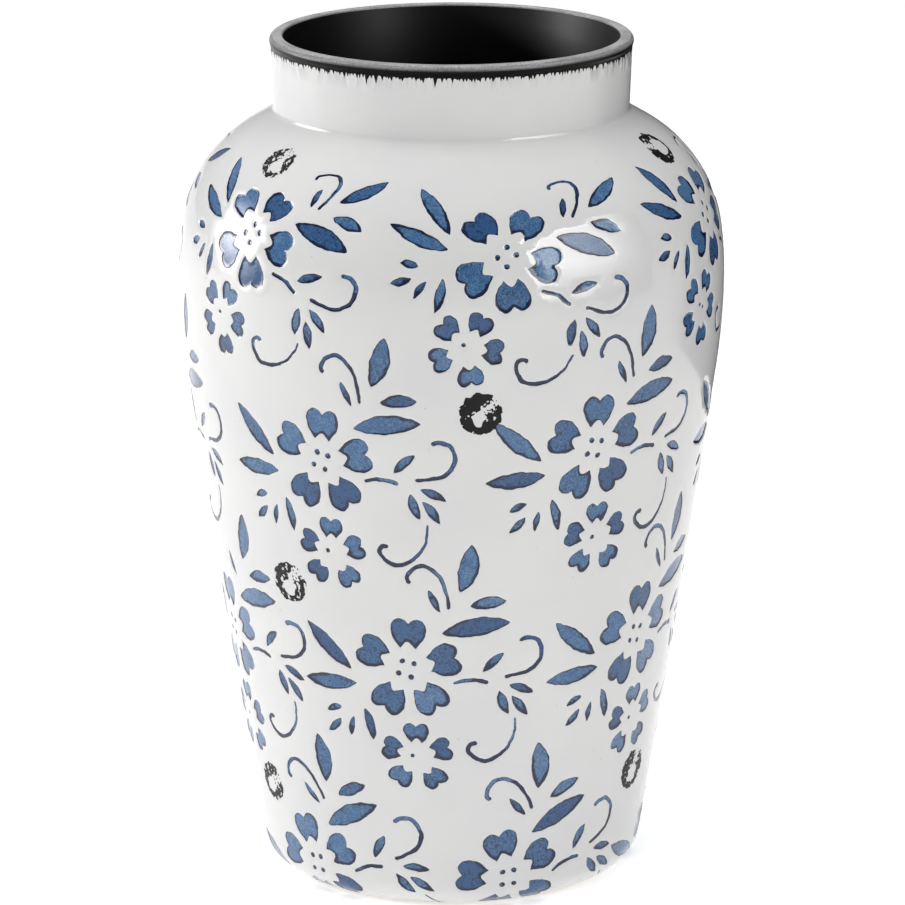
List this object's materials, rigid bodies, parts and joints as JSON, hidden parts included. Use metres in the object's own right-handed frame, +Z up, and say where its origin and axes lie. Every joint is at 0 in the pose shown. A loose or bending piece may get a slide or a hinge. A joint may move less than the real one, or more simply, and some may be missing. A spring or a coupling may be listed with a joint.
{
  "type": "vase",
  "caption": "Tapering jar vase with a round shoulder, short upright neck and rolled lip; white glaze outside, black glaze over the lip and inside.",
  "frame": {"origin": "middle of the foot ring's resting plane, on the vase's axis", "axes": "+Z up along the axis of revolution, out of the mouth; +X to the right and -Y towards the viewer when the vase's chosen front is seen"},
  "size_m": [0.192, 0.192, 0.3],
  "materials": {
    "bare_clay": "unglazed stoneware, matte",
    "white_glaze": "glossy white glaze",
    "blue_glaze": "mottled blue glaze pooled in stamped recesses",
    "worn_black": "ragged black distressing marks",
    "black_lip_glaze": "satin charcoal glaze with a ragged lower edge",
    "black_glaze": "glossy brown-black glaze"
  },
  "bodies": {
    "root": {"floor_and_foot": "bare_clay", "body_wall": "bare_clay", "neck_collar": "bare_clay", "white_outer_glaze": "white_glaze", "black_lip_glaze": "black_lip_glaze", "black_inner_glaze": "black_glaze"}
  },
  "joints": []
}
